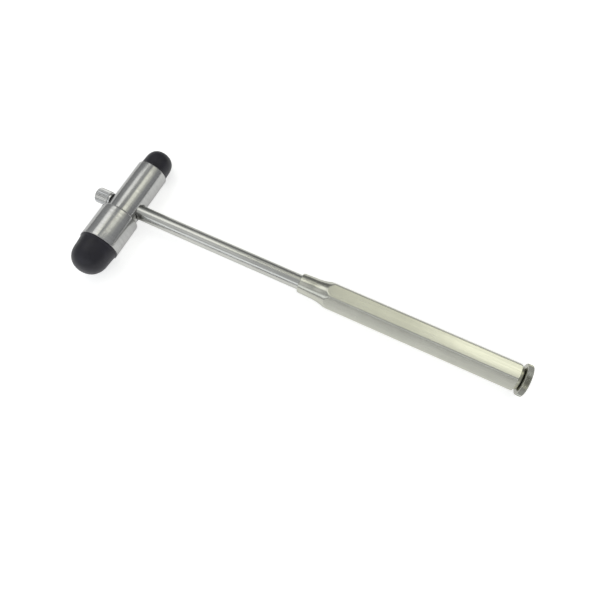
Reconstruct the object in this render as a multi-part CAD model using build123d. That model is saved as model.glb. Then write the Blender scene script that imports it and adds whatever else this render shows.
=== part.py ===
from build123d import *
from math import cos, pi, sin
import os

# Neurological reflex hammer of the two-ended kind, with a needle and a brush stored inside it.
#
# A stepped steel head carries a large and a small rubber bumper. A slim round shaft is screwed into
# the head and into a six-sided handle. The needle screws into the head opposite the shaft and lies
# inside the shaft. The brush screws into the open end of the handle.
#
# Everything is laid out about the crossing of the two main axes: the shaft axis is X, towards the
# handle, and the head axis is Y, towards the small bumper. The pieces are then moved together, so
# that the origin is the middle of the bottom of the whole hammer. Millimetres, Z up.

# ---- Head: a stepped round bar, lying along Y ----
LARGE_DIAMETER = 16.4
SMALL_DIAMETER = 13.5
LARGE_END_Y = -20.5
SHOULDER_Y = -5.1
SMALL_END_Y = 19.8
SHOULDER_ROUND = 0.7
RIM_ROUND = 0.35
SHAFT_SOCKET_FLOOR_X = -2.0
SHAFT_RELIEF_DIAMETER = 7.0
SHAFT_RELIEF_FLOOR_X = 6.0
RING_SEAT_DIAMETER = 7.0
RING_SEAT_X = -6.0

# ---- Rubber bumpers: a lip on the metal rim, a tapered side, a blunt dome and a stem ----
LARGE_LIP_DIAMETER = 16.3
LARGE_BASE_DIAMETER = 15.6
LARGE_SIDE_DIAMETER = 14.9
LARGE_SIDE_LENGTH = 5.0
LARGE_DOME_HEIGHT = 8.1
LARGE_DOME_POWER = 2.25
LARGE_STEM_DIAMETER = 8.0
LARGE_STEM_LENGTH = 8.0
SMALL_LIP_DIAMETER = 12.3
SMALL_BASE_DIAMETER = 12.1
SMALL_SIDE_DIAMETER = 11.8
SMALL_SIDE_LENGTH = 3.2
SMALL_DOME_HEIGHT = 6.7
SMALL_DOME_POWER = 2.6
SMALL_STEM_DIAMETER = 6.4
SMALL_STEM_LENGTH = 7.0
LIP_THICKNESS = 0.7
STEM_BEAD_HEIGHT = 0.4
STEM_BEAD_LENGTH = 1.6
DOME_POINTS = 9

# ---- Shaft ----
SHAFT_DIAMETER = 6.2
SHAFT_END_X = 92.0
THREAD_BORE_DIAMETER = 4.0
THREAD_BORE_END_X = 6.5
NEEDLE_BORE_DIAMETER = 2.2
NEEDLE_BORE_END_X = 50.0

# ---- Handle: six-sided bar with a turned neck ----
ACROSS_FLATS = 10.4
HEX_EDGE_ROUND = 0.7
NECK_START_DIAMETER = 8.1
NECK_DIAMETER = 8.45
NECK_START_X = 80.7
NECK_CHAMFER = 0.35
FLARE_START_X = 86.1
FLARE_RADIUS = 19.8
FLARE_END_DIAMETER = 12.4
HANDLE_END_X = 169.0
HANDLE_END_CHAMFER = 0.5
HANDLE_END_FACE_DIAMETER = 11.2
BRUSH_BORE_DIAMETER = 6.4
BRUSH_BORE_START_X = 108.0
BUSH_SOCKET_START_X = 160.0
BUSH_BODY_DIAMETER = 7.8
BUSH_FLANGE_DIAMETER = 9.2
BUSH_FLANGE_THICKNESS = 1.2
BUSH_BORE_DIAMETER = 6.0
BUSH_FLANGE_CHAMFER = 0.2

# ---- Needle, with its knob, threaded shank and seal ring ----
KNOB_DIAMETER = 6.5
KNOB_OUTER_X = -13.95
KNOB_INNER_X = -7.0
KNOB_BAND_LENGTH = 0.9
KNOB_BAND_DIAMETER = 6.1
KNOB_TEETH = 34
KNOB_CHAMFER = 0.5
SHANK_DIAMETER = 3.9
SHANK_END_X = 5.0
SHANK_END_CHAMFER = 0.5
SHANK_TENON_DIAMETER = 2.8
SHANK_TENON_LENGTH = 3.0
NEEDLE_DIAMETER = 1.2
NEEDLE_START_X = -0.9
NEEDLE_TIP_X = 44.0
NEEDLE_POINT_LENGTH = 6.0
NEEDLE_TIP_DIAMETER = 0.1
NEEDLE_HOLE_RUN_OUT = 0.1
RING_MEAN_DIAMETER = 4.95
RING_SECTION_DIAMETER = 0.92

# ---- Brush, with its cap, threaded plug, stem and ferrule ----
CAP_DIAMETER = 12.6
CAP_INNER_X = 170.6
CAP_OUTER_X = 173.1
CAP_TEETH = 52
CAP_CHAMFER = 0.5
PLUG_DIAMETER = 5.9
PLUG_START_X = 161.5
PLUG_LEAD_IN = 0.4
PLUG_THREAD_END_X = 170.0
PLUG_UNDERCUT_DIAMETER = 4.6
PLUG_TENON_DIAMETER = 3.2
PLUG_TENON_LENGTH = 1.7
PLUG_STEM_HOLE_END_X = 166.0
STEM_DIAMETER = 1.8
STEM_START_X = 147.0
STEM_END_X = 165.9
FERRULE_DIAMETER = 4.4
FERRULE_START_X = 140.0
FERRULE_END_X = 149.0
FERRULE_CRIMPS_X = (142.0, 144.0)
FERRULE_CRIMP_DEPTH = 0.2
FERRULE_CRIMP_RADIUS = 0.4
BRISTLE_TIP_X = 126.0
BRISTLE_ROOT_DIAMETER = 3.5
BRISTLE_TIP_DIAMETER = 5.2
BRISTLE_TIP_TAPER = 0.6
BRISTLE_TIP_TAPER_LENGTH = 1.0

# ---- Fits ----
PRESSED_HOLE_CLEARANCE = 0.05
KNURL_DEPTH = 0.25

# ---- Where the crossing of the axes lies in the finished frame ----
LARGE_TIP_Y = LARGE_END_Y - LARGE_SIDE_LENGTH - LARGE_DOME_HEIGHT
SMALL_TIP_Y = SMALL_END_Y + SMALL_SIDE_LENGTH + SMALL_DOME_HEIGHT
CROSSING = (
    -(KNOB_OUTER_X + CAP_OUTER_X) / 2,
    -(LARGE_TIP_Y + SMALL_TIP_Y) / 2,
    LARGE_DIAMETER / 2,
)


def turned_about_x(stations):
    """A solid of revolution about X through (x, diameter) stations."""
    outline = [(stations[0][0], 0)]
    outline += [(x, diameter / 2) for x, diameter in stations]
    outline += [(stations[-1][0], 0)]
    return revolve(make_face(Polyline(*outline, close=True)), Axis.X)


def rod_along_x(start_x, end_x, diameter):
    """A plain round rod along X."""
    return turned_about_x([(start_x, diameter), (end_x, diameter)])


def rod_along_y(start_y, end_y, diameter):
    """A plain round rod along Y."""
    outline = [(0, start_y), (diameter / 2, start_y), (diameter / 2, end_y), (0, end_y)]
    return revolve(make_face(Polyline(*outline, close=True)), Axis.Y)


def knurled_rod(start_x, end_x, diameter, teeth):
    """A rod along X with straight V-shaped teeth all round."""
    corners = []
    for index in range(2 * teeth):
        angle = pi * index / teeth
        radius = diameter / 2 - KNURL_DEPTH * (index % 2)
        corners.append((radius * cos(angle), radius * sin(angle)))
    section = Plane.YZ * make_face(Polyline(*corners, close=True))
    return Pos(start_x, 0, 0) * extrude(section, end_x - start_x)


def circles_at(body, y):
    """The round edges of a body turned about Y that lie at one place along it."""
    return [edge for edge in body.edges().filter_by(GeomType.CIRCLE) if abs(edge.center().Y - y) < 0.01]


def head_body():
    """The stepped bar with a bumper socket in each end and the bore for the shaft and needle."""
    large_radius = LARGE_DIAMETER / 2
    small_radius = SMALL_DIAMETER / 2
    outline = [
        (0, LARGE_END_Y),
        (large_radius, LARGE_END_Y),
        (large_radius, SHOULDER_Y),
        (small_radius, SHOULDER_Y),
        (small_radius, SMALL_END_Y),
        (0, SMALL_END_Y),
    ]
    body = revolve(make_face(Polyline(*outline, close=True)), Axis.Y)
    outer_shoulder = [edge for edge in circles_at(body, SHOULDER_Y) if edge.radius > small_radius + 0.1]
    body = fillet(outer_shoulder, SHOULDER_ROUND)
    body = fillet(circles_at(body, LARGE_END_Y) + circles_at(body, SMALL_END_Y), RIM_ROUND)
    body -= bumper_stem(LARGE_END_Y, 1, LARGE_STEM_LENGTH, LARGE_STEM_DIAMETER)
    body -= bumper_stem(SMALL_END_Y, -1, SMALL_STEM_LENGTH, SMALL_STEM_DIAMETER)
    body -= rod_along_x(SHAFT_SOCKET_FLOOR_X, LARGE_DIAMETER, SHAFT_DIAMETER)
    body -= rod_along_x(SHAFT_RELIEF_FLOOR_X, LARGE_DIAMETER, SHAFT_RELIEF_DIAMETER)
    body -= rod_along_x(-LARGE_DIAMETER, SHAFT_SOCKET_FLOOR_X, THREAD_BORE_DIAMETER)
    body -= rod_along_x(-LARGE_DIAMETER, RING_SEAT_X, RING_SEAT_DIAMETER)
    return body


def bumper_stem(face_y, inward, length, diameter):
    """The stem of a bumper, from the head's end face inwards, with a bead that holds it."""
    middle = face_y + inward * length / 2
    stem = rod_along_y(face_y, face_y + inward * length, diameter)
    bead_start = middle - STEM_BEAD_LENGTH / 2
    return stem + rod_along_y(bead_start, bead_start + STEM_BEAD_LENGTH, diameter + 2 * STEM_BEAD_HEIGHT)


def bumper(face_y, outward, lip, base, side, side_length, dome_height, power):
    """The part of a rubber bumper outside the head: lip, tapered side and blunt dome."""
    side_y = face_y + outward * side_length
    dome = []
    for index in range(DOME_POINTS + 1):
        angle = pi / 2 * index / DOME_POINTS
        radius = side / 2 * cos(angle) ** (2 / power) if index < DOME_POINTS else 0
        height = dome_height * sin(angle) ** (2 / power)
        dome.append((radius, side_y + outward * height))
    lip_y = face_y + outward * LIP_THICKNESS
    foot = Polyline((0, face_y), (lip / 2, face_y), (lip / 2, lip_y), (base / 2, lip_y), dome[0])
    crown = Spline(*dome, tangents=[(0, outward), (-1, 0)])
    axis_line = Line(dome[-1], (0, face_y))
    return revolve(make_face([foot, crown, axis_line]), Axis.Y)


def large_bumper():
    """Soft rubber plug for the large end of the head."""
    outside = bumper(LARGE_END_Y, -1, LARGE_LIP_DIAMETER, LARGE_BASE_DIAMETER, LARGE_SIDE_DIAMETER,
                     LARGE_SIDE_LENGTH, LARGE_DOME_HEIGHT, LARGE_DOME_POWER)
    return outside + bumper_stem(LARGE_END_Y, 1, LARGE_STEM_LENGTH, LARGE_STEM_DIAMETER)


def small_bumper():
    """Soft rubber plug for the small end of the head."""
    outside = bumper(SMALL_END_Y, 1, SMALL_LIP_DIAMETER, SMALL_BASE_DIAMETER, SMALL_SIDE_DIAMETER,
                     SMALL_SIDE_LENGTH, SMALL_DOME_HEIGHT, SMALL_DOME_POWER)
    return outside + bumper_stem(SMALL_END_Y, -1, SMALL_STEM_LENGTH, SMALL_STEM_DIAMETER)


def shaft():
    """Round bar from the head to the handle, bored at the head end for the needle."""
    body = rod_along_x(SHAFT_SOCKET_FLOOR_X, SHAFT_END_X, SHAFT_DIAMETER)
    body -= rod_along_x(SHAFT_SOCKET_FLOOR_X, THREAD_BORE_END_X, THREAD_BORE_DIAMETER)
    body -= rod_along_x(THREAD_BORE_END_X, NEEDLE_BORE_END_X, NEEDLE_BORE_DIAMETER)
    return body


def handle_body():
    """Six-sided bar with rounded edges, turned down to a round neck and bored from the far end."""
    corner_radius = ACROSS_FLATS / 2 / cos(pi / 6)
    hexagon = RegularPolygon(corner_radius, 6, rotation=0)
    hexagon = fillet(hexagon.vertices(), HEX_EDGE_ROUND)
    bar = Pos(NECK_START_X, 0, 0) * extrude(Plane.YZ * hexagon, HANDLE_END_X - NECK_START_X)
    flare_rise = (FLARE_END_DIAMETER - NECK_DIAMETER) / 2
    flare_length = (2 * FLARE_RADIUS * flare_rise - flare_rise ** 2) ** 0.5
    flare_end = (FLARE_START_X + flare_length, FLARE_END_DIAMETER / 2)
    flare_start = (FLARE_START_X, NECK_DIAMETER / 2)
    neck = Polyline((NECK_START_X, 0), (NECK_START_X, NECK_START_DIAMETER / 2 - NECK_CHAMFER),
                    (NECK_START_X + NECK_CHAMFER, NECK_START_DIAMETER / 2), flare_start)
    flare = RadiusArc(flare_start, flare_end, FLARE_RADIUS)
    rest = Polyline(flare_end, (HANDLE_END_X - HANDLE_END_CHAMFER, FLARE_END_DIAMETER / 2),
                    (HANDLE_END_X, HANDLE_END_FACE_DIAMETER / 2), (HANDLE_END_X, 0), (NECK_START_X, 0))
    turned = revolve(make_face([neck, flare, rest]), Axis.X)
    body = bar & turned
    body -= rod_along_x(NECK_START_X, SHAFT_END_X, SHAFT_DIAMETER)
    body -= rod_along_x(BRUSH_BORE_START_X, HANDLE_END_X, BRUSH_BORE_DIAMETER)
    body -= rod_along_x(BUSH_SOCKET_START_X, HANDLE_END_X, BUSH_BODY_DIAMETER)
    return body


def handle_end_bush():
    """Flanged bush pressed into the open end of the handle, threaded inside for the brush."""
    flange_end = HANDLE_END_X + BUSH_FLANGE_THICKNESS
    body = turned_about_x([
        (BUSH_SOCKET_START_X, BUSH_BODY_DIAMETER),
        (HANDLE_END_X, BUSH_BODY_DIAMETER),
        (HANDLE_END_X, BUSH_FLANGE_DIAMETER),
        (flange_end - BUSH_FLANGE_CHAMFER, BUSH_FLANGE_DIAMETER),
        (flange_end, BUSH_FLANGE_DIAMETER - 2 * BUSH_FLANGE_CHAMFER),
    ])
    return body - rod_along_x(BUSH_SOCKET_START_X, flange_end, BUSH_BORE_DIAMETER)


def needle():
    """Straight steel needle with a long point."""
    return turned_about_x([
        (NEEDLE_START_X, NEEDLE_DIAMETER),
        (NEEDLE_TIP_X - NEEDLE_POINT_LENGTH, NEEDLE_DIAMETER),
        (NEEDLE_TIP_X, NEEDLE_TIP_DIAMETER),
    ])


def needle_shank():
    """Threaded shank: a tenon that the knob is pressed on, the thread, and the needle's hole."""
    body = turned_about_x([
        (KNOB_INNER_X - SHANK_TENON_LENGTH, SHANK_TENON_DIAMETER),
        (KNOB_INNER_X, SHANK_TENON_DIAMETER),
        (KNOB_INNER_X, SHANK_DIAMETER),
        (SHANK_END_X - SHANK_END_CHAMFER, SHANK_DIAMETER),
        (SHANK_END_X, SHANK_DIAMETER - 2 * SHANK_END_CHAMFER),
    ])
    hole = NEEDLE_DIAMETER + 2 * PRESSED_HOLE_CLEARANCE
    return body - rod_along_x(NEEDLE_START_X - NEEDLE_HOLE_RUN_OUT, SHANK_END_X, hole)


def needle_knob():
    """Knurled finger knob with a plain band at its inner end."""
    band_x = KNOB_INNER_X - KNOB_BAND_LENGTH
    body = knurled_rod(KNOB_OUTER_X, band_x, KNOB_DIAMETER, KNOB_TEETH)
    body &= turned_about_x([
        (KNOB_OUTER_X, KNOB_DIAMETER - 2 * KNOB_CHAMFER),
        (KNOB_OUTER_X + KNOB_CHAMFER, KNOB_DIAMETER),
        (band_x - KNURL_DEPTH, KNOB_DIAMETER),
        (band_x, KNOB_DIAMETER - 2 * KNURL_DEPTH),
    ])
    body += rod_along_x(band_x, KNOB_INNER_X, KNOB_BAND_DIAMETER)
    return body - rod_along_x(KNOB_INNER_X - SHANK_TENON_LENGTH, KNOB_INNER_X, SHANK_TENON_DIAMETER)


def needle_seal_ring():
    """Black round-section ring between the knob and its seat in the head."""
    middle_x = (RING_SEAT_X + KNOB_INNER_X) / 2
    section = Pos(middle_x, RING_MEAN_DIAMETER / 2) * Circle(RING_SECTION_DIAMETER / 2)
    return revolve(section, Axis.X)


def brush_cap():
    """Knurled disc that is the far end of the hammer."""
    body = knurled_rod(CAP_INNER_X, CAP_OUTER_X, CAP_DIAMETER, CAP_TEETH)
    body &= turned_about_x([
        (CAP_INNER_X, CAP_DIAMETER - 2 * CAP_CHAMFER),
        (CAP_INNER_X + CAP_CHAMFER, CAP_DIAMETER),
        (CAP_OUTER_X - CAP_CHAMFER, CAP_DIAMETER),
        (CAP_OUTER_X, CAP_DIAMETER - 2 * CAP_CHAMFER),
    ])
    return body - rod_along_x(CAP_INNER_X, CAP_INNER_X + PLUG_TENON_LENGTH, PLUG_TENON_DIAMETER)


def brush_plug():
    """Threaded plug under the cap, with a hole for the brush's stem."""
    body = turned_about_x([
        (PLUG_START_X, PLUG_DIAMETER - 2 * PLUG_LEAD_IN),
        (PLUG_START_X + PLUG_LEAD_IN, PLUG_DIAMETER),
        (PLUG_THREAD_END_X, PLUG_DIAMETER),
        (PLUG_THREAD_END_X, PLUG_UNDERCUT_DIAMETER),
        (CAP_INNER_X, PLUG_UNDERCUT_DIAMETER),
        (CAP_INNER_X, PLUG_TENON_DIAMETER),
        (CAP_INNER_X + PLUG_TENON_LENGTH, PLUG_TENON_DIAMETER),
    ])
    hole = STEM_DIAMETER + 2 * PRESSED_HOLE_CLEARANCE
    return body - rod_along_x(PLUG_START_X, PLUG_STEM_HOLE_END_X, hole)


def brush_stem():
    """Stiff wire between the plug and the ferrule."""
    return rod_along_x(STEM_START_X, STEM_END_X, STEM_DIAMETER)


def brush_ferrule():
    """Crimped tube that holds the bristles on the stem."""
    body = rod_along_x(FERRULE_START_X, FERRULE_END_X, FERRULE_DIAMETER)
    for crimp_x in FERRULE_CRIMPS_X:
        groove_y = FERRULE_DIAMETER / 2 + FERRULE_CRIMP_RADIUS - FERRULE_CRIMP_DEPTH
        groove = Pos(crimp_x, groove_y) * Circle(FERRULE_CRIMP_RADIUS)
        body -= revolve(groove, Axis.X)
    stem_hole = STEM_DIAMETER + 2 * PRESSED_HOLE_CLEARANCE
    body -= rod_along_x(FERRULE_START_X, STEM_START_X, BRISTLE_ROOT_DIAMETER)
    return body - rod_along_x(STEM_START_X, FERRULE_END_X, stem_hole)


def brush_bristles():
    """The bundle of bristles, as one plain flared solid."""
    return turned_about_x([
        (BRISTLE_TIP_X, BRISTLE_TIP_DIAMETER - 2 * BRISTLE_TIP_TAPER),
        (BRISTLE_TIP_X + BRISTLE_TIP_TAPER_LENGTH, BRISTLE_TIP_DIAMETER),
        (FERRULE_START_X, BRISTLE_ROOT_DIAMETER),
        (STEM_START_X, BRISTLE_ROOT_DIAMETER),
    ])


PIECES = (
    head_body, large_bumper, small_bumper, shaft, handle_body, handle_end_bush,
    needle, needle_shank, needle_knob, needle_seal_ring,
    brush_cap, brush_plug, brush_stem, brush_ferrule, brush_bristles,
)

os.makedirs("parts", exist_ok=True)
for piece in PIECES:
    export_step(Pos(*CROSSING) * piece(), f"parts/{piece.__name__}.step")
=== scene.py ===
import bpy
import math
import random
from mathutils import Matrix, Vector


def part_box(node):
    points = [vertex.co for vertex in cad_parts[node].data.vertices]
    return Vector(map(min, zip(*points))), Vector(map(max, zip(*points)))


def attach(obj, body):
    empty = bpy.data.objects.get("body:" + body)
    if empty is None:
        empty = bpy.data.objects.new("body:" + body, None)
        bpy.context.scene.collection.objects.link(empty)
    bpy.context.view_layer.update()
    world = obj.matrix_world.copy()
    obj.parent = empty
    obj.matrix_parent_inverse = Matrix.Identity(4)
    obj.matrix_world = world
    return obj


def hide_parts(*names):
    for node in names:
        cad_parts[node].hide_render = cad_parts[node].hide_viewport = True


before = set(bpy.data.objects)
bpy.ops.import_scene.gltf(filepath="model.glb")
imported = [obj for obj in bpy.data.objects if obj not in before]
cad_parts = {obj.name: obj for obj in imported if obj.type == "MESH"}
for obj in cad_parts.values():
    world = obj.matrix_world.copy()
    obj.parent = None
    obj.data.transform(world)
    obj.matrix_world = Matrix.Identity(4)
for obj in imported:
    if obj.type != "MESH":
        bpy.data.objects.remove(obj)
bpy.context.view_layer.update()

# Looks of the reflex hammer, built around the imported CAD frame.
#
# Every piece that shows is a finely made mesh of the same size as its CAD node, with its edges
# rounded so that they catch the light, and a procedural material. Metres, Z up. The shaft and the
# handle lie along X, the head lies along Y. CROSSING is the point where their axes meet, and the
# places below are measured from it or from the boxes of the CAD nodes.

MM = 0.001
TINY = 1e-7


# ---------------------------------------------------------------- places, from the frame
def low(node, axis):
    """Lowest coordinate of a CAD node along an axis: 0 is X, 1 is Y, 2 is Z."""
    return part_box(node)[0][axis]


def high(node, axis):
    """Highest coordinate of a CAD node along an axis."""
    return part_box(node)[1][axis]


def middle(node, axis):
    """Coordinate half way through a CAD node along an axis."""
    return (low(node, axis) + high(node, axis)) / 2


def radius_of(node, axis=2):
    """Half of a CAD node's size along an axis."""
    return (high(node, axis) - low(node, axis)) / 2


CROSSING = Vector((middle("head_body", 0), middle("shaft", 1), middle("shaft", 2)))


def along(distance):
    """X coordinate at a distance in millimetres from the crossing, towards the cap."""
    return CROSSING.x + distance * MM


# ---------------------------------------------------------------- mesh tools
def link(name, mesh, body, *nodes, slot=None, sharp=35):
    """Makes an object of a mesh, rides it on its body and lets it stand for its CAD nodes."""
    mesh.validate()
    mesh.polygons.foreach_set("use_smooth", [True] * len(mesh.polygons))
    mesh.set_sharp_from_angle(angle=math.radians(sharp))
    piece = bpy.data.objects.new(name, mesh)
    bpy.context.scene.collection.objects.link(piece)
    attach(piece, body)
    if nodes:
        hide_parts(*nodes)
    return piece


def softened(corners, steps=5):
    """Replaces each (station, radius, rounding) corner of an outline by a small arc."""
    outline = []
    for index, (station, radius, rounding) in enumerate(corners):
        here = Vector((station, radius))
        inner = 0 < index < len(corners) - 1
        if not inner or rounding <= 0:
            outline.append(here)
            continue
        before = (Vector(corners[index - 1][:2]) - here).normalized()
        after = (Vector(corners[index + 1][:2]) - here).normalized()
        half = before.angle(after) / 2
        reach = rounding / math.tan(half)
        centre = here + (before + after).normalized() * rounding / math.sin(half)
        start = here + before * reach - centre
        end = here + after * reach - centre
        arc = start.angle(end)
        for step in range(steps + 1):
            share = step / steps
            spoke = start * math.sin((1 - share) * arc) + end * math.sin(share * arc)
            outline.append(centre + spoke / math.sin(arc))
    return outline


def circle(station, radius, count):
    """A round ring of count points, or a pole where the radius is nothing."""
    if radius < TINY:
        return [(station, 0, 0)]
    return [(station, 2 * math.pi * index / count, radius) for index in range(count)]


def skin(rings, axis, centre, closed_loop=False):
    """A closed mesh from rings of points, each ring a list of (station, angle, radius).

    A ring of one point is a pole. The axis is "X" or "Y", and the centre is a point on it.
    """
    vertices = []
    starts = []
    for ring in rings:
        starts.append(len(vertices))
        for station, angle, radius in ring:
            side, up = radius * math.cos(angle), radius * math.sin(angle)
            if axis == "X":
                vertices.append((station, centre.y + side, centre.z + up))
            else:
                vertices.append((centre.x + up, station, centre.z + side))
    faces = []
    pairs = list(zip(range(len(rings)), range(1, len(rings))))
    if closed_loop:
        pairs.append((len(rings) - 1, 0))
    for first, second in pairs:
        count = max(len(rings[first]), len(rings[second]))
        for index in range(count):
            after = (index + 1) % count
            if len(rings[first]) == 1:
                faces.append((starts[first], starts[second] + index, starts[second] + after))
            elif len(rings[second]) == 1:
                faces.append((starts[first] + index, starts[second], starts[first] + after))
            else:
                faces.append((starts[first] + index, starts[second] + index,
                              starts[second] + after, starts[first] + after))
    mesh = bpy.data.meshes.new("skin")
    mesh.from_pydata(vertices, [], faces)
    return faced_outwards(mesh)


def faced_outwards(mesh):
    """Turns the faces of a closed mesh outwards: its signed volume is made positive."""
    volume = 0.0  # six times the signed volume
    for face in mesh.polygons:
        corners = [mesh.vertices[i].co for i in face.vertices]
        for index in range(1, len(corners) - 1):
            volume += corners[0].dot(corners[index].cross(corners[index + 1]))
    if volume < 0:
        mesh.flip_normals()
    return mesh


def turned(outline, axis, centre, segments=128, closed_loop=False):
    """A solid of revolution from (station, radius) points."""
    rings = [circle(station, radius, segments) for station, radius in outline]
    return skin(rings, axis, centre, closed_loop)


def stations(start, end, step):
    """Evenly spaced coordinates from start to end, about a step apart."""
    count = max(1, round(abs(end - start) / step))
    return [start + (end - start) * i / count for i in range(count + 1)]


def cut(mesh, *cutters):
    """The mesh with the cutters taken away."""
    scene = bpy.context.scene
    body = bpy.data.objects.new("cut_body", mesh)
    scene.collection.objects.link(body)
    tools = []
    for cutter in cutters:
        tool = bpy.data.objects.new("cut_tool", cutter)
        scene.collection.objects.link(tool)
        tools.append(tool)
        difference = body.modifiers.new("cut", "BOOLEAN")
        difference.operation = "DIFFERENCE"
        difference.solver = "EXACT"
        difference.object = tool
    graph = bpy.context.evaluated_depsgraph_get()
    result = bpy.data.meshes.new_from_object(body.evaluated_get(graph))
    for extra in [body] + tools:
        bpy.data.objects.remove(extra)
    return result


# ---------------------------------------------------------------- head
HEAD_LOW = low("head_body", 1)
HEAD_HIGH = high("head_body", 1)
LARGE_RADIUS = radius_of("head_body")
SMALL_RADIUS = 6.75 * MM
SHOULDER = CROSSING.y - 5.1 * MM
SHAFT_RADIUS = radius_of("shaft")
SHAFT_SEAT = along(-2.0)
SHAFT_RELIEF = 3.5 * MM
SHAFT_RELIEF_FLOOR = along(6.0)
RING_SEAT_RADIUS = 3.5 * MM
RING_SEAT = along(-6.0)
NEEDLE_BORE_RADIUS = 2.0 * MM
RIM_ROUND = 0.35 * MM
SHOULDER_ROUND = 0.7 * MM
SHOULDER_ROOT_ROUND = 0.12 * MM
LONG_STRETCH = 6 * MM
# A socket is its end face, the way in along Y, the stem's radius and the stem's length.
LARGE_SOCKET = (HEAD_LOW, 1, 4.0 * MM, 8.0 * MM)
SMALL_SOCKET = (HEAD_HIGH, -1, 3.2 * MM, 7.0 * MM)
SOCKET_OVERRUN = 1.0 * MM
BEAD = 0.4 * MM
BEAD_HALF = 0.8 * MM


def make_head():
    """Stepped round body with rounded rims, a shoulder, the shaft's relief and the ring's seat."""
    outside = softened([
        (HEAD_LOW, 0, 0),
        (HEAD_LOW, LARGE_RADIUS, RIM_ROUND),
        (SHOULDER, LARGE_RADIUS, SHOULDER_ROUND),
        (SHOULDER, SMALL_RADIUS, SHOULDER_ROOT_ROUND),
        (HEAD_HIGH, SMALL_RADIUS, RIM_ROUND),
        (HEAD_HIGH, 0, 0),
    ], steps=7)
    fine = []
    for first, second in zip(outside, outside[1:]):
        parts = 4 if (second - first).length > LONG_STRETCH else 1
        fine += [first.lerp(second, part / parts) for part in range(parts)]
    mesh = turned(fine + [outside[-1]], "Y", CROSSING, segments=256)
    reach = LARGE_RADIUS * 2
    shaft_hole = turned([
        (SHAFT_SEAT, 0), (SHAFT_SEAT, SHAFT_RADIUS), (SHAFT_RELIEF_FLOOR, SHAFT_RADIUS),
        (SHAFT_RELIEF_FLOOR, SHAFT_RELIEF), (CROSSING.x + reach, SHAFT_RELIEF), (CROSSING.x + reach, 0),
    ], "X", CROSSING)
    needle_hole = turned([
        (CROSSING.x - reach, 0), (CROSSING.x - reach, RING_SEAT_RADIUS), (RING_SEAT, RING_SEAT_RADIUS),
        (RING_SEAT, NEEDLE_BORE_RADIUS), (CROSSING.x, NEEDLE_BORE_RADIUS), (CROSSING.x, 0),
    ], "X", CROSSING)
    sockets = [turned(stem_outline(*socket, SOCKET_OVERRUN), "Y", CROSSING)
               for socket in (LARGE_SOCKET, SMALL_SOCKET)]
    mesh = cut(mesh, shaft_hole, needle_hole, *sockets)
    return link("head", mesh, "hammer", "head_body", slot="head_steel", sharp=30)


def stem_outline(face, inward, radius, length, beyond=0.0):
    """Outline of a bumper's stem and bead, from the head's end face inwards."""
    half_way = face + inward * length / 2
    return [
        (face - inward * beyond, 0), (face - inward * beyond, radius),
        (half_way - inward * BEAD_HALF, radius), (half_way - inward * BEAD_HALF / 2, radius + BEAD),
        (half_way + inward * BEAD_HALF / 2, radius + BEAD), (half_way + inward * BEAD_HALF, radius),
        (face + inward * length, radius), (face + inward * length, 0),
    ]


# ---------------------------------------------------------------- bumpers
LIP_WIDTH = 0.7 * MM
LIP_FOOT = 0.95 * MM
LIP_INNER_ROUND = 0.12 * MM
LIP_OUTER_ROUND = 0.18 * MM
LIP_FOOT_ROUND = 0.3 * MM
DOME_STEPS = 40


def make_bumper(node, name, socket, side_length, base, side, bluntness):
    """Rubber plug: lip on the metal rim, tapered side and blunt dome, with its stem inside.

    The side runs from the base radius to the side radius, and a dome of bluntness 2 is an ellipse.
    """
    face, inward, stem, length = socket
    outward = -inward
    tip = high(node, 1) if outward > 0 else low(node, 1)
    lip = radius_of(node)
    side_end = face + outward * side_length
    height = abs(tip - side_end)
    stem_points = stem_outline(face, inward, stem, length)[::-1][:-2]
    body = [(station, radius, 0) for station, radius in stem_points]
    body += [
        (face, stem, 0), (face, lip, LIP_INNER_ROUND), (face + outward * LIP_WIDTH, lip, LIP_OUTER_ROUND),
        (face + outward * LIP_FOOT, base, LIP_FOOT_ROUND), (side_end, side, 0),
    ]
    outline = [tuple(point) for point in softened(body, steps=6)]
    for step in range(1, DOME_STEPS):
        turn = math.pi / 2 * step / DOME_STEPS
        station = side_end + outward * height * math.sin(turn) ** (2 / bluntness)
        outline.append((station, side * math.cos(turn) ** (2 / bluntness)))
    outline.append((tip, 0))
    mesh = turned(outline, "Y", CROSSING, segments=160)
    return link(name, mesh, "hammer", node, slot="bumper_rubber", sharp=50)


# ---------------------------------------------------------------- shaft
SHANK_BORE_RADIUS = 2.0 * MM
SHANK_BORE_END = along(6.5)
POINT_BORE_RADIUS = 1.1 * MM
POINT_BORE_END = along(50)
SHAFT_HEAD_ROUND = 0.2 * MM
SHAFT_HANDLE_ROUND = 0.3 * MM


def make_shaft():
    """Polished round shaft, bored at the head end for the needle."""
    start, end = low("shaft", 0), high("shaft", 0)
    outline = softened([
        (POINT_BORE_END, 0, 0), (POINT_BORE_END, POINT_BORE_RADIUS, 0),
        (SHANK_BORE_END, POINT_BORE_RADIUS, 0), (SHANK_BORE_END, SHANK_BORE_RADIUS, 0),
        (start, SHANK_BORE_RADIUS, 0), (start, SHAFT_RADIUS, SHAFT_HEAD_ROUND),
        (end, SHAFT_RADIUS, SHAFT_HANDLE_ROUND), (end, 0, 0),
    ])
    mesh = turned(outline, "X", CROSSING, segments=128)
    return link("shaft_rod", mesh, "hammer", "shaft", slot="shaft_steel")


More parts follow.
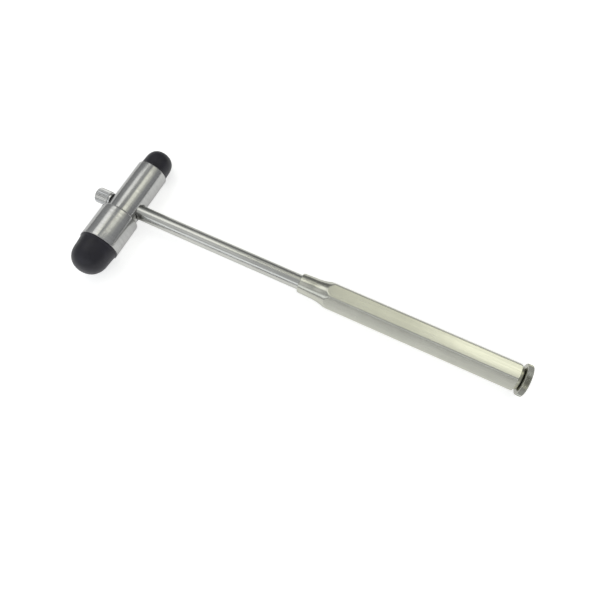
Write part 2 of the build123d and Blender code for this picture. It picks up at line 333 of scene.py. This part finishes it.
# ---------------------------------------------------------------- handle
FLAT_RADIUS = radius_of("handle_body")
HEX_ROUND = 0.7 * MM
FLAT_CROWN = 0.035 * MM
NECK_START_RADIUS = 4.05 * MM
NECK_RADIUS = 4.225 * MM
NECK_START = low("handle_body", 0)
HANDLE_END = high("handle_body", 0)
NECK_ROUND = 0.35 * MM
FLARE_START = along(86.1)
FLARE_ARC = 19.8 * MM
FLARE_TOP = 6.2 * MM
FLARE_REACH = 9 * MM
END_FACE_RADIUS = 5.6 * MM
END_CHAMFER = 0.5 * MM
SHAFT_SOCKET_RADIUS = SHAFT_RADIUS + 0.02 * MM
SHAFT_SOCKET_END = along(92)
BUSH_SEAT_RADIUS = 3.9 * MM
BUSH_SEAT_END = along(160)
BRUSH_BORE_RADIUS = 3.2 * MM
BRUSH_BORE_END = along(108)
DRILL_POINT = along(106.5)
ROUND_STEPS = 8
FLAT_STEPS = 14


def hexagon():
    """(angle, radius) points of a hexagon with rounded edges, with flats on top and below.

    Each flat is lower at its edges than in its middle by the crown, as polishing leaves it.
    """
    points = []
    half_side = math.pi / 6
    arc_centre = (FLAT_RADIUS - HEX_ROUND - FLAT_CROWN) / math.cos(half_side)
    for side in range(6):
        corner_angle = side * math.pi / 3
        for step in range(ROUND_STEPS + 1):
            turn = math.radians(-30 + 60 * step / ROUND_STEPS)
            outward = arc_centre + HEX_ROUND * math.cos(turn)
            aside = HEX_ROUND * math.sin(turn)
            points.append((corner_angle + math.atan2(aside, outward), math.hypot(aside, outward)))
        start = points[-1][0]
        gap = 2 * (corner_angle + half_side - start)
        for step in range(1, FLAT_STEPS):
            angle = start + gap * step / FLAT_STEPS
            from_middle = angle - corner_angle - half_side
            across = math.tan(from_middle) / math.tan(gap / 2)
            points.append((angle, (FLAT_RADIUS - FLAT_CROWN * across ** 2) / math.cos(from_middle)))
    return points


def flare_radius(station):
    """Radius of the hollow flare from the turned neck up to the flats."""
    run = station - FLARE_START
    return min(FLARE_TOP, NECK_RADIUS + FLARE_ARC - math.sqrt(FLARE_ARC ** 2 - run ** 2))


def make_handle():
    """Six-sided bar with a turned neck, chamfered end and the bore for the brush."""
    section = hexagon()
    profile = softened([
        (SHAFT_SOCKET_END, 0, 0), (SHAFT_SOCKET_END, SHAFT_SOCKET_RADIUS, 0),
        (NECK_START, SHAFT_SOCKET_RADIUS, 0.1 * MM), (NECK_START, NECK_START_RADIUS, NECK_ROUND),
        (FLARE_START, NECK_RADIUS, 0),
    ])
    flare = stations(FLARE_START, FLARE_START + FLARE_REACH, 0.12 * MM)[1:]
    profile += [(station, flare_radius(station)) for station in flare]
    flats = stations(FLARE_START + FLARE_REACH + 1 * MM, HANDLE_END - 2 * MM, 4 * MM)
    profile += [(station, FLARE_TOP) for station in flats]
    chamfer_start = HANDLE_END - END_CHAMFER
    slope = (FLARE_TOP - END_FACE_RADIUS) / END_CHAMFER
    chamfer = stations(chamfer_start, HANDLE_END - 0.06 * MM, 0.05 * MM)
    profile += [(station, FLARE_TOP - (station - chamfer_start) * slope) for station in chamfer]
    profile += softened([
        (chamfer_start, FLARE_TOP, 0), (HANDLE_END, END_FACE_RADIUS, 0.05 * MM),
        (HANDLE_END, BUSH_SEAT_RADIUS, 0.1 * MM), (BUSH_SEAT_END, BUSH_SEAT_RADIUS, 0),
        (BUSH_SEAT_END, BRUSH_BORE_RADIUS, 0), (BRUSH_BORE_END, BRUSH_BORE_RADIUS, 0),
        (DRILL_POINT, 0, 0),
    ])[1:]
    rings = []
    for station, radius in profile:
        if radius < TINY:
            rings.append([(station, 0, 0)])
        else:
            rings.append([(station, angle, min(radius, edge)) for angle, edge in section])
    mesh = skin(rings, "X", CROSSING)
    return link("handle", mesh, "hammer", "handle_body", slot="handle_steel", sharp=28)


BUSH_BODY_RADIUS = BUSH_SEAT_RADIUS - 0.02 * MM
BUSH_BORE_RADIUS = 3.0 * MM
BUSH_INNER_CHAMFER = 0.3 * MM
BUSH_OUTER_CHAMFER = 0.4 * MM
BRUSH_THREAD_PITCH = 0.75 * MM


def make_bush():
    """Flanged bush in the handle's end, with its inside thread."""
    start, end = low("handle_end_bush", 0), high("handle_end_bush", 0)
    flange = radius_of("handle_end_bush")
    bore = BUSH_BORE_RADIUS
    outline = softened([
        (start, bore + BUSH_INNER_CHAMFER, 0), (start, BUSH_BODY_RADIUS, 0),
        (HANDLE_END, BUSH_BODY_RADIUS, 0), (HANDLE_END, flange, 0.12 * MM), (end, flange, 0.25 * MM),
        (end, bore + BUSH_OUTER_CHAMFER, 0.05 * MM), (end - BUSH_OUTER_CHAMFER, bore, 0),
    ])
    groove_depth = 0.35 * MM
    thread_start = start + BUSH_INNER_CHAMFER
    groove = end - 0.6 * MM
    while groove - BRUSH_THREAD_PITCH > thread_start:
        outline += [(groove, bore), (groove - BRUSH_THREAD_PITCH / 2, bore + groove_depth)]
        groove -= BRUSH_THREAD_PITCH
    outline.append((thread_start, bore))
    mesh = turned(outline, "X", CROSSING, segments=128, closed_loop=True)
    return link("end_bush", mesh, "hammer", "handle_end_bush", slot="bush_steel")


# ---------------------------------------------------------------- knurls and threads
TOOTH_POINTS = 8
KNOB_TEETH = 34
KNOB_BAND_RADIUS = 3.05 * MM
KNOB_BAND_WIDTH = 0.9 * MM
CAP_TEETH = 80


def knurled(start, end, radius, teeth, depth, chamfer, tail=()):
    """Rings of a straight-knurled rod whose teeth run out on a rounded chamfer at each end.

    The tail lists the (station, radius) circles that follow the knurl. A pole closes each end.
    """
    rings = [circle(start, 0, 1)]
    count = teeth * TOOTH_POINTS
    length = end - start
    rising = stations(0, chamfer, chamfer / 6)
    for place in rising + [length - s for s in reversed(rising)]:
        share = min(1.0, min(place, length - place) / chamfer)
        envelope = radius - chamfer * (1 - math.sqrt(max(0.0, 1 - (1 - share) ** 2)))
        ring = []
        for index in range(count):
            wave = abs(2 * ((index / TOOTH_POINTS) % 1.0) - 1)
            tooth = radius - depth * min(1.0, max(0.0, wave * 1.35 - 0.15)) ** 0.9
            ring.append((start + place, 2 * math.pi * index / count, min(envelope, tooth)))
        rings.append(ring)
    rings += [circle(station, size, count) for station, size in tail]
    last_station = rings[-1][0][0]
    return rings + [circle(last_station, 0, 1)]


def make_knob():
    """Knurled finger knob with a plain band next to the ring."""
    start, end = low("needle_knob", 0), high("needle_knob", 0)
    radius = radius_of("needle_knob", 1)
    band_start = end - KNOB_BAND_WIDTH
    band = softened([
        (band_start, 2.2 * MM, 0), (band_start, KNOB_BAND_RADIUS, 0.12 * MM),
        (end, KNOB_BAND_RADIUS, 0.2 * MM), (end, 0.4 * MM, 0),
    ])
    rings = knurled(start, band_start, radius, KNOB_TEETH, depth=0.24 * MM, chamfer=0.5 * MM, tail=band)
    mesh = skin(rings, "X", CROSSING)
    return link("knob", mesh, "needle_turner", "needle_knob", slot="knurled_steel", sharp=40)


def make_cap():
    """Knurled disc with rounded edges and flat faces."""
    start, end = low("brush_cap", 0), high("brush_cap", 0)
    radius = radius_of("brush_cap", 1)
    rings = knurled(start, end, radius, CAP_TEETH, depth=0.26 * MM, chamfer=0.55 * MM)
    mesh = skin(rings, "X", CROSSING)
    return link("cap", mesh, "brush_turner", "brush_cap", slot="knurled_steel", sharp=40)


THREAD_SIDES = 64
SHANK_RADIUS = 1.95 * MM
PLUG_UNDERCUT_RADIUS = 2.3 * MM


def threaded(start, end, radius, pitch, depth):
    """Rings of a helical thread between two stations, fading out at both ends."""
    rings = []
    for station in stations(start, end, pitch / 8):
        fade = max(0.0, min(1.0, (station - start) / pitch, (end - station) / pitch))
        ring = []
        for index in range(THREAD_SIDES):
            phase = (station / pitch - index / THREAD_SIDES) % 1.0
            ridge = 1 - abs(2 * phase - 1)
            crest = min(1.0, max(0.0, ridge * 1.3 - 0.1))
            angle = 2 * math.pi * index / THREAD_SIDES
            ring.append((station, angle, radius - depth * (1 - crest) * fade))
        rings.append(ring)
    return rings


def circles(*places):
    """Rings as coarse as a thread's, one for each (station, radius)."""
    return [circle(station, radius, THREAD_SIDES) for station, radius in places]


def make_shank():
    """The knob's threaded shank, from inside the knob on."""
    start, end = along(-7.0), high("needle_shank", 0)
    radius = SHANK_RADIUS
    rings = circles((start, 0), (start, radius), (start + 1.2 * MM, radius))
    rings += threaded(start + 1.4 * MM, end - 0.6 * MM, radius, pitch=0.7 * MM, depth=0.32 * MM)
    rings += circles((end - 0.5 * MM, radius - 0.1 * MM), (end, radius - 0.5 * MM), (end, 0))
    mesh = skin(rings, "X", CROSSING)
    return link("shank", mesh, "needle_turner", "needle_shank", slot="thread_steel", sharp=40)


def make_plug():
    """The cap's threaded plug, with the undercut that shows as a dark gap."""
    start = low("brush_plug", 0)
    shoulder = along(170.0)
    inside_cap = low("brush_cap", 0) + 0.1 * MM
    radius = radius_of("brush_plug")
    rings = circles((start, 0), (start, radius - 0.4 * MM), (start + 0.4 * MM, radius - 0.05 * MM))
    rings += threaded(start + 0.45 * MM, shoulder - 0.9 * MM, radius, BRUSH_THREAD_PITCH, depth=0.34 * MM)
    rings += circles(
        (shoulder - 0.8 * MM, radius), (shoulder, radius), (shoulder, PLUG_UNDERCUT_RADIUS),
        (inside_cap, PLUG_UNDERCUT_RADIUS), (inside_cap, 0),
    )
    mesh = skin(rings, "X", CROSSING)
    return link("plug", mesh, "brush_turner", "brush_plug", slot="thread_steel", sharp=40)


# ---------------------------------------------------------------- needle and ring
def make_needle():
    """Bright straight needle with a long fine point."""
    start, end = low("needle", 0), high("needle", 0)
    radius = radius_of("needle")
    point_length = 6 * MM
    point_start = end - point_length
    outline = [(start, 0), (start, radius)]
    outline += [(station, radius) for station in stations(start + 4 * MM, point_start, 6 * MM)]
    for station in stations(point_start, end, 0.5 * MM)[1:]:
        share = (end - station) / point_length
        outline.append((station, radius * share ** 0.85))
    mesh = turned(outline, "X", CROSSING, segments=48)
    return link("needle_wire", mesh, "needle_slider", "needle", slot="needle_steel", sharp=50)


def make_ring():
    """Round-section black ring at the foot of the knob; its black is the ring's own colour and also paints
    the shade in the gap between the knob and the head.
    """
    across = radius_of("needle_seal_ring")
    thick = (high("needle_seal_ring", 0) - low("needle_seal_ring", 0)) / 2
    place = middle("needle_seal_ring", 0)
    outline = []
    steps = 24
    for step in range(steps):
        turn = 2 * math.pi * step / steps
        outline.append((place + thick * math.cos(turn), across - thick + thick * math.sin(turn)))
    mesh = turned(outline, "X", CROSSING, segments=96, closed_loop=True)
    return link("seal_ring", mesh, "needle_turner", "needle_seal_ring", slot="ring_rubber", sharp=80)


# ---------------------------------------------------------------- brush
def make_stem():
    """Stiff wire of the brush."""
    start, end = low("brush_stem", 0), high("brush_stem", 0)
    radius = radius_of("brush_stem")
    outline = softened([(start, 0, 0), (start, radius, 0.1 * MM), (end, radius, 0.1 * MM), (end, 0, 0)])
    mesh = turned(outline, "X", CROSSING, segments=48)
    return link("stem_wire", mesh, "brush_slider", "brush_stem", slot="needle_steel")


def make_ferrule():
    """Crimped tube that grips the bristles and the stem."""
    start, end = low("brush_ferrule", 0), high("brush_ferrule", 0)
    radius = radius_of("brush_ferrule")
    inner = 1.8 * MM
    bore_end = start + 6.5 * MM
    crimp_half = 0.45 * MM
    crimp_depth = 0.28 * MM
    crimp_round = 0.15 * MM
    corners = [(bore_end, 0, 0), (bore_end, inner, 0), (start, inner, 0.05 * MM), (start, radius, 0.1 * MM)]
    for crimp in (start + 2.0 * MM, start + 4.0 * MM):
        corners += [
            (crimp - crimp_half, radius, crimp_round),
            (crimp, radius - crimp_depth, crimp_round),
            (crimp + crimp_half, radius, crimp_round),
        ]
    corners += [(end, radius, 0.35 * MM), (end, 0, 0)]
    mesh = turned(softened(corners), "X", CROSSING, segments=96)
    return link("ferrule", mesh, "brush_turner", "brush_ferrule", slot="bush_steel", sharp=50)


BRISTLES = 300
BRISTLE_SIDES = 5
BRISTLE_BENDS = 8
BRISTLE_THICKNESS = 0.085 * MM
BRISTLE_TAPER = 0.035 * MM
GOLDEN_ANGLE = math.pi * (3 - math.sqrt(5))


def make_bristles():
    """Separate bristles, packed in the ferrule and fanned out a little at their tips."""
    random.seed(7)
    tip, mouth = low("brush_bristles", 0), low("brush_ferrule", 0)
    root = mouth + 6.0 * MM
    spread = radius_of("brush_bristles") - 0.15 * MM
    grip = 1.6 * MM
    vertices, faces = [], []
    for index in range(BRISTLES):
        share = math.sqrt((index + 0.5) / BRISTLES)
        wander = random.uniform(-0.12, 0.12)
        short_by = random.uniform(0.0, 1.3) * MM + (0.9 * MM) * share ** 4
        end = tip + 0.1 * MM + short_by
        first = len(vertices)
        for step in range(BRISTLE_BENDS + 1):
            done = step / BRISTLE_BENDS
            station = root + (end - root) * done
            fan = max(0.0, (mouth - station) / (mouth - tip))
            away = share * (grip + (spread - grip) * fan ** 1.3)
            angle = index * GOLDEN_ANGLE + wander * fan
            thick = BRISTLE_THICKNESS - BRISTLE_TAPER * done ** 3
            middle_y = CROSSING.y + away * math.cos(angle)
            middle_z = CROSSING.z + away * math.sin(angle)
            for side in range(BRISTLE_SIDES):
                turn = 2 * math.pi * side / BRISTLE_SIDES
                out, up = thick * math.cos(turn), thick * math.sin(turn)
                vertices.append((station, middle_y + out, middle_z + up))
        for step in range(BRISTLE_BENDS):
            ring_start = first + step * BRISTLE_SIDES
            for side in range(BRISTLE_SIDES):
                here = ring_start + side
                beside = ring_start + (side + 1) % BRISTLE_SIDES
                faces.append((here, beside, beside + BRISTLE_SIDES, here + BRISTLE_SIDES))
        last = first + BRISTLE_BENDS * BRISTLE_SIDES
        faces.append(tuple(first + side for side in reversed(range(BRISTLE_SIDES))))
        faces.append(tuple(last + side for side in range(BRISTLE_SIDES)))
    mesh = bpy.data.meshes.new("bristles")
    mesh.from_pydata(vertices, [], faces)
    faced_outwards(mesh)
    return link("bristle_bundle", mesh, "brush_turner", "brush_bristles", slot="bristle", sharp=80)


# ---------------------------------------------------------------- materials
class Recipe:
    """A node material around one Principled shader, with short ways to add texture nodes."""

    def __init__(self, name):
        self.material = bpy.data.materials.new(name)
        self.material.use_nodes = True
        self.tree = self.material.node_tree
        self.shader = self.tree.nodes["Principled BSDF"]
        self.place = self.tree.nodes.new("ShaderNodeTexCoord").outputs["Object"]

    def node(self, kind, **inputs):
        """A new node, with the values of its inputs; an underscore stands for a space."""
        made = self.tree.nodes.new(kind)
        for key, value in inputs.items():
            made.inputs[key.replace("_", " ")].default_value = value
        return made

    def join(self, source, target):
        self.tree.links.new(source, target)

    def noise(self, stretch, detail=4.0, roughness=0.6, distortion=0.0):
        """Noise in object space; stretch is cycles per metre along X, Y and Z."""
        mapping = self.node("ShaderNodeMapping", Scale=stretch)
        self.join(self.place, mapping.inputs["Vector"])
        noise = self.node(
            "ShaderNodeTexNoise", Scale=1.0, Detail=detail, Roughness=roughness, Distortion=distortion)
        self.join(mapping.outputs["Vector"], noise.inputs["Vector"])
        return noise.outputs["Fac"]

    def spread(self, source, low_out, high_out, low_in=0.3, high_in=0.7):
        """Maps a value range onto another."""
        made = self.node("ShaderNodeMapRange")
        for index, value in enumerate((low_in, high_in, low_out, high_out)):
            made.inputs[index + 1].default_value = value
        self.join(source, made.inputs[0])
        return made.outputs[0]

    def mix(self, factor, first, second):
        """A colour between two others."""
        made = self.tree.nodes.new("ShaderNodeMix")
        made.data_type = "RGBA"
        for key, value in (("Factor", factor), ("A", first), ("B", second)):
            self.set(made.inputs[key], value)
        return made.outputs["Result"]

    def sum(self, first, second):
        """The sum of two values."""
        made = self.tree.nodes.new("ShaderNodeMath")
        made.operation = "ADD"
        self.set(made.inputs[0], first)
        self.set(made.inputs[1], second)
        return made.outputs[0]

    def set(self, socket, value):
        """Joins a socket to another one, or gives it a value or a colour."""
        if isinstance(value, bpy.types.NodeSocket):
            self.join(value, socket)
        elif isinstance(value, tuple) and len(value) == 3 and socket.type == "RGBA":
            socket.default_value = (*value, 1)
        else:
            socket.default_value = value

    def bump(self, height, distance, strength=1.0):
        """Fine relief on the shader's normal."""
        bump = self.node("ShaderNodeBump", Strength=strength, Distance=distance)
        self.join(height, bump.inputs["Height"])
        self.join(bump.outputs["Normal"], self.shader.inputs["Normal"])

    def finish(self, **inputs):
        """Sets the rest of the shader's inputs and returns the material."""
        for key, value in inputs.items():
            self.set(self.shader.inputs[key.replace("_", " ")], value)
        return self.material


LINE_HEIGHT = 0.004 * MM
RUBBER_GRAIN_HEIGHT = 0.022 * MM


def shade(colour, factor):
    """The colour made darker or brighter."""
    return tuple(channel * factor for channel in colour)


def steel(name, colour, rough, grain, relief=1.0, depth=0.16, anisotropy=0.0, tangent=None, spin=0.0):
    """Stainless steel: machining lines along or across, and soft smudges.

    The grain is the lines' cycles per metre along X, Y and Z. Relief is how far they stand out, and
    depth how far they darken. The tangent is the axis that the anisotropic gloss turns around.
    """
    recipe = Recipe(name)
    fine = recipe.noise(grain, detail=5.0, roughness=0.7)
    coarse = recipe.noise(shade(grain, 0.22), detail=3.0)
    smudge = recipe.noise((60, 60, 60), detail=3.0, distortion=0.6)
    lines = recipe.sum(recipe.spread(fine, -0.5, 0.5), recipe.spread(coarse, -0.3, 0.3))
    smudged = recipe.spread(smudge, 0.0, 1.0, 0.35, 0.65)
    tint = recipe.mix(smudged, shade(colour, 0.94), shade(colour, 1.04))
    lined = recipe.spread(lines, 0.0, depth, -0.6, 0.6)
    tint = recipe.mix(lined, tint, shade(colour, 0.55))
    grain_roughness = recipe.spread(lines, rough - 0.05, rough + 0.06, -0.6, 0.6)
    roughness = recipe.sum(grain_roughness, recipe.spread(smudge, -0.02, 0.04))
    recipe.bump(lines, LINE_HEIGHT * relief)
    recipe.set(recipe.shader.inputs["Base Color"], tint)
    recipe.set(recipe.shader.inputs["Roughness"], roughness)
    if tangent:
        around = recipe.tree.nodes.new("ShaderNodeTangent")
        around.direction_type = "RADIAL"
        around.axis = tangent
        recipe.join(around.outputs["Tangent"], recipe.shader.inputs["Tangent"])
    recipe.set(recipe.shader.inputs["Specular Tint"], (0.75, 0.75, 0.75))
    return recipe.finish(Metallic=1.0, Anisotropic=anisotropy, Anisotropic_Rotation=spin)


def rubber(name, colour, rough):
    """Matte moulded rubber: fine grain, faint bloom and handling marks."""
    recipe = Recipe(name)
    grain = recipe.noise((2600, 2600, 2600), detail=4.0)
    bloom = recipe.noise((190, 190, 190), detail=5.0, distortion=0.8)
    tint = recipe.mix(recipe.spread(bloom, 0.0, 1.0, 0.35, 0.7), colour, shade(colour, 1.7))
    grain_roughness = recipe.spread(grain, rough - 0.05, rough + 0.05)
    roughness = recipe.sum(grain_roughness, recipe.spread(bloom, -0.05, 0.06))
    height = recipe.sum(grain, recipe.spread(bloom, 0.0, 0.6))
    recipe.bump(height, RUBBER_GRAIN_HEIGHT, strength=0.6)
    recipe.set(recipe.shader.inputs["Base Color"], tint)
    recipe.set(recipe.shader.inputs["Roughness"], roughness)
    return recipe.finish(Sheen_Weight=0.01, Sheen_Roughness=0.5, Specular_IOR_Level=0.34)


def fibre(name, colour):
    """Pale stiff bristle, with streaks along it."""
    recipe = Recipe(name)
    streak = recipe.noise((120, 2400, 2400), detail=3.0)
    tint = recipe.mix(recipe.spread(streak, 0.0, 1.0), shade(colour, 0.8), colour)
    recipe.set(recipe.shader.inputs["Base Color"], tint)
    recipe.set(recipe.shader.inputs["Roughness"], recipe.spread(streak, 0.35, 0.55))
    return recipe.finish(Subsurface_Weight=0.1, Subsurface_Scale=0.0005)


def dress(piece, material):
    """Gives a piece its one material."""
    piece.data.materials.clear()
    piece.data.materials.append(material)


# ---------------------------------------------------------------- floor, lights and camera
def floor_material():
    """Pale paper that glows a little, so that it stays white around the hammer's soft shadow."""
    recipe = Recipe("pale_floor")
    paper = recipe.noise((900, 900, 900), detail=3.0)
    tint = recipe.mix(recipe.spread(paper, 0.0, 1.0), (0.74, 0.74, 0.73), (0.76, 0.76, 0.75))
    recipe.set(recipe.shader.inputs["Base Color"], tint)
    recipe.set(recipe.shader.inputs["Emission Color"], (1.0, 1.0, 1.0))
    return recipe.finish(Roughness=0.9, Specular_IOR_Level=0.1, Emission_Strength=0.62)


def make_floor():
    """Floor through the three points that the hammer lies on: shoulder, small rim and cap."""
    shoulder = Vector((CROSSING.x, SHOULDER, CROSSING.z - LARGE_RADIUS))
    small_rim = Vector((CROSSING.x, HEAD_HIGH, CROSSING.z - SMALL_RADIUS))
    cap_rim = Vector((middle("brush_cap", 0), CROSSING.y, low("brush_cap", 2)))
    up = (small_rim - shoulder).cross(cap_rim - shoulder).normalized()
    if up.z < 0:
        up = -up
    reach = 6.0
    flat = [(-reach, -reach, 0), (reach, -reach, 0), (reach, reach, 0), (-reach, reach, 0)]
    tilt = Vector((0, 0, 1)).rotation_difference(up).to_matrix()
    base = shoulder - up * 0.02 * MM
    mesh = bpy.data.meshes.new("floor")
    mesh.from_pydata([tuple(tilt @ Vector(corner) + base) for corner in flat], [], [(0, 1, 2, 3)])
    floor = bpy.data.objects.new("floor", mesh)
    bpy.context.scene.collection.objects.link(floor)
    dress(floor, floor_material())


# (position, brightness) from the nadir to the zenith, and from the front (-Y) to the back
WORLD_BY_HEIGHT = ((0.0, 0.30), (0.5, 0.28), (0.55, 0.38), (0.62, 0.50), (0.80, 0.58), (1.0, 0.58))
WORLD_BY_DEPTH = ((0.0, 1.0), (0.35, 1.0), (0.60, 0.95), (0.75, 0.75), (0.88, 0.50), (1.0, 0.45))
WORLD_COLOUR = (0.96, 0.98, 1.0, 1)


def make_world():
    """Soft surroundings: pale overhead, dimmer towards the horizon and behind the hammer."""
    world = bpy.data.worlds.new("studio")
    world.use_nodes = True
    tree = world.node_tree
    back = tree.nodes["Background"]
    place = tree.nodes.new("ShaderNodeTexCoord")
    split = tree.nodes.new("ShaderNodeSeparateXYZ")
    tree.links.new(place.outputs["Generated"], split.inputs["Vector"])
    product = tree.nodes.new("ShaderNodeMath")
    product.operation = "MULTIPLY"
    for socket_index, (axis, stops) in enumerate((("Z", WORLD_BY_HEIGHT), ("Y", WORLD_BY_DEPTH))):
        share = tree.nodes.new("ShaderNodeMapRange")
        for index, value in enumerate((-1.0, 1.0, 0.0, 1.0)):
            share.inputs[index + 1].default_value = value
        tree.links.new(split.outputs[axis], share.inputs[0])
        ramp = tree.nodes.new("ShaderNodeValToRGB")
        while len(ramp.color_ramp.elements) < len(stops):
            ramp.color_ramp.elements.new(0.5)
        for element, (position, grey) in zip(ramp.color_ramp.elements, stops):
            element.position = position
            element.color = (grey, grey, grey, 1)
        tree.links.new(share.outputs[0], ramp.inputs["Fac"])
        tree.links.new(ramp.outputs["Color"], product.inputs[socket_index])
    tree.links.new(product.outputs[0], back.inputs["Strength"])
    back.inputs["Color"].default_value = WORLD_COLOUR
    bpy.context.scene.world = world


def softbox(name, place, size, brightness, colour, facing=(0, 0, -1), spread=180, roll=0.0):
    """A rectangular softbox, of a given brightness on its axis, that faces a direction.

    The place is in metres from the crossing. A spread under 180 degrees is a grid on the box, and
    the roll turns the box about its own axis.
    """
    half = math.radians(spread / 2)
    grid = (math.tan(half) - half) / math.tan(half) if spread < 180 else 1.0
    light = bpy.data.lights.new(name, "AREA")
    light.shape = "RECTANGLE"
    light.size, light.size_y = size
    light.energy = brightness * math.pi * size[0] * size[1] * grid
    light.color = colour
    light.spread = math.radians(spread)
    lamp = bpy.data.objects.new(name, light)
    lamp.location = CROSSING + Vector(place)
    turn = Vector(facing).to_track_quat("-Z", "Y").to_matrix()
    lamp.rotation_euler = (turn @ Matrix.Rotation(math.radians(roll), 3, "Z")).to_euler()
    bpy.context.scene.collection.objects.link(lamp)


def make_lights():
    """High softboxes with a gap between them, low ones over the handle, and a front fill."""
    white = (1.0, 1.0, 1.0)
    cool = (0.92, 0.955, 1.0)
    high_up = 0.80
    softbox("left_softbox", (-0.46, 0.24, high_up), (0.42, 0.52), 1.25, (1.0, 1.0, 0.96))
    softbox("middle_softbox", (-0.19, 0.16, high_up), (0.14, 0.26), 1.55, (1.0, 1.0, 0.86))
    softbox("right_softbox", (0.38, 0.39, high_up), (0.36, 0.26), 0.85, (1.0, 1.0, 0.87))
    softbox("back_strip", (-0.23, 0.62, high_up), (0.36, 0.24), 0.6, (1.0, 1.0, 0.90))
    softbox("near_fill", (-0.32, -0.42, high_up), (0.36, 0.50), 0.35, white)
    low_down = 0.25
    to_handle = (0.0, -0.42, -0.9)
    to_neck = (0.0, -0.30, -0.9)
    straw = (1.0, 1.0, 0.79)
    pale_straw = (1.0, 1.0, 0.86)
    softbox("handle_softbox", (0.18, 0.155, low_down), (0.28, 0.11), 0.76, straw, to_handle, 110, 15)
    softbox("neck_softbox", (0.046, 0.048, low_down), (0.05, 0.04), 0.7, pale_straw, to_neck, 110)
    softbox("end_softbox", (0.24, 0.150, low_down), (0.15, 0.09), 0.36, straw, to_handle, 110)
    front = (-0.05, -0.60, 0.26)
    softbox("front_fill", front, (1.4, 0.27), 1.0, cool, facing=-Vector(front))


VIEWPOINT = (121.92, -93.99, 202.37)
VIEW_TARGET = (83.76, -6.96, 0.0)
VIEW_ROLL = 2.239
LENS = 34.43


def make_camera():
    """The photograph's viewpoint: close, above and in front, with a slight roll.

    The viewpoint and its target are in millimetres from the crossing, the roll is in degrees.
    """
    data = bpy.data.cameras.new("camera")
    data.lens = LENS
    data.sensor_width = 36.0
    data.clip_start = 0.01
    camera = bpy.data.objects.new("camera", data)
    place = CROSSING + Vector(VIEWPOINT) * MM
    target = CROSSING + Vector(VIEW_TARGET) * MM
    facing = (target - place).to_track_quat("-Z", "Y").to_matrix().to_4x4()
    roll = Matrix.Rotation(math.radians(VIEW_ROLL), 4, "Z")
    camera.matrix_world = Matrix.Translation(place) @ facing @ roll
    bpy.context.scene.collection.objects.link(camera)
    bpy.context.scene.camera = camera


# ---------------------------------------------------------------- build
ALONG_SHAFT = (60, 3800, 3800)
ALONG_HANDLE = (70, 4200, 4200)
ALONG_WIRE = (90, 4200, 4200)
AROUND_HEAD = (160, 5200, 160)
AROUND_BUSH = (6000, 200, 200)
AROUND_THREAD = (5000, 400, 400)
ON_KNURL = (2600, 1500, 1500)

head_steel = steel(
    "head_steel_fine_turned", (0.47, 0.47, 0.462), 0.19, AROUND_HEAD,
    relief=1.4, depth=0.42, anisotropy=0.3, tangent="Y", spin=0.25)
shaft_steel = steel("shaft_steel_drawn", (0.52, 0.52, 0.49), 0.23, ALONG_SHAFT)
handle_steel = steel("handle_steel_brushed", (0.51, 0.51, 0.452), 0.22, ALONG_HANDLE)
# Painted shade: this steel is darker and browner than the handle's, standing in for the shade in the gap
# between the handle's end and the cap. The ferrule inside the handle shares it.
bush_steel = steel("bush_steel_painted_gap_shade", (0.38, 0.38, 0.30), 0.34, AROUND_BUSH)
knob_steel = steel("knurl_steel", (0.54, 0.54, 0.53), 0.22, ON_KNURL, relief=0.15)
cap_steel = steel("cap_steel", (0.46, 0.46, 0.405), 0.15, ON_KNURL, relief=0.15)
thread_steel = steel("thread_steel", (0.50, 0.50, 0.48), 0.28, AROUND_THREAD, relief=0.3)
bright_steel = steel("bright_steel", (0.62, 0.62, 0.61), 0.14, ALONG_WIRE)
black_rubber = rubber("bumper_rubber_matte", (0.0105, 0.0100, 0.0145), 0.44)
# Near-black ring rubber: a rubber ring's own black, and also painted shade for the dark gap at the knob's
# foot.
ring_rubber = rubber("ring_rubber_black_gap_shade", (0.008, 0.008, 0.009), 0.45)
bristle_fibre = fibre("bristle_fibre", (0.74, 0.68, 0.52))

dress(make_head(), head_steel)
large_bumper = make_bumper(
    "large_bumper", "large_plug", LARGE_SOCKET,
    side_length=5.0 * MM, base=7.8 * MM, side=7.45 * MM, bluntness=2.25)
small_bumper = make_bumper(
    "small_bumper", "small_plug", SMALL_SOCKET,
    side_length=3.2 * MM, base=6.05 * MM, side=5.9 * MM, bluntness=2.6)
dress(large_bumper, black_rubber)
dress(small_bumper, black_rubber)
dress(make_shaft(), shaft_steel)
dress(make_handle(), handle_steel)
dress(make_bush(), bush_steel)
dress(make_knob(), knob_steel)
dress(make_cap(), cap_steel)
dress(make_shank(), thread_steel)
dress(make_plug(), thread_steel)
dress(make_needle(), bright_steel)
dress(make_ring(), ring_rubber)
dress(make_stem(), bright_steel)
dress(make_ferrule(), bush_steel)
dress(make_bristles(), bristle_fibre)

make_floor()
make_world()
make_lights()
make_camera()
bpy.context.scene.view_settings.view_transform = "Standard"
